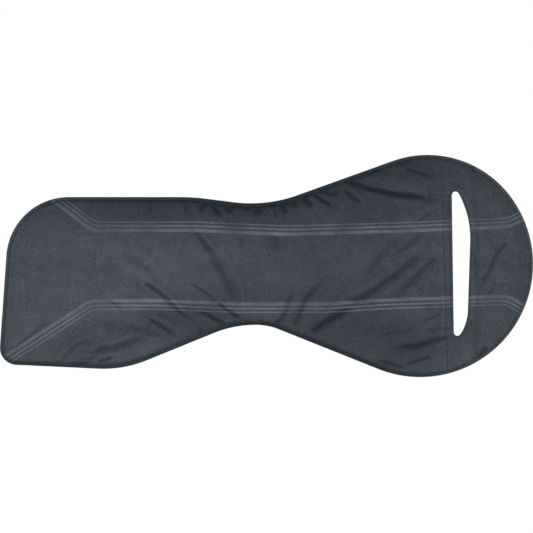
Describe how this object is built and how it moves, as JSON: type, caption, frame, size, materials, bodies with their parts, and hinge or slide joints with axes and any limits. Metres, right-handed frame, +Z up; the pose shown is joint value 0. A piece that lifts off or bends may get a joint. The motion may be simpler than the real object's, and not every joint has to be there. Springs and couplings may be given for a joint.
{
  "type": "bicycle chain cover",
  "caption": "Flat sewn cloth pocket with one square end, a narrow waist and a round end, slotted right through for a crank arm and printed with two stripes.",
  "frame": {"origin": "middle of the underside, where the cover lies on its back panel", "axes": "+X along the cover towards the round end, +Y across it towards the straight top edge, +Z up from the back panel to the printed front panel"},
  "size_m": [0.6799, 0.2832, 0.0072],
  "materials": {
    "cover_cloth": "matt, tightly woven polyester in dark slate grey",
    "facing_cloth": "the same matt cloth, a shade darker",
    "stripe_print": "flat grey transfer print that lets the weave show",
    "tape": "black woven hook and loop tape"
  },
  "bodies": {
    "root": {"front_panel": "cover_cloth", "back_panel": "cover_cloth", "front_slot_facing": "facing_cloth", "back_slot_facing": "facing_cloth", "upper_stripe": "stripe_print", "lower_stripe": "stripe_print", "hook_tape_1": "tape", "hook_tape_2": "tape", "hook_tape_3": "tape", "loop_tape_1": "tape", "loop_tape_2": "tape", "loop_tape_3": "tape"}
  },
  "joints": []
}
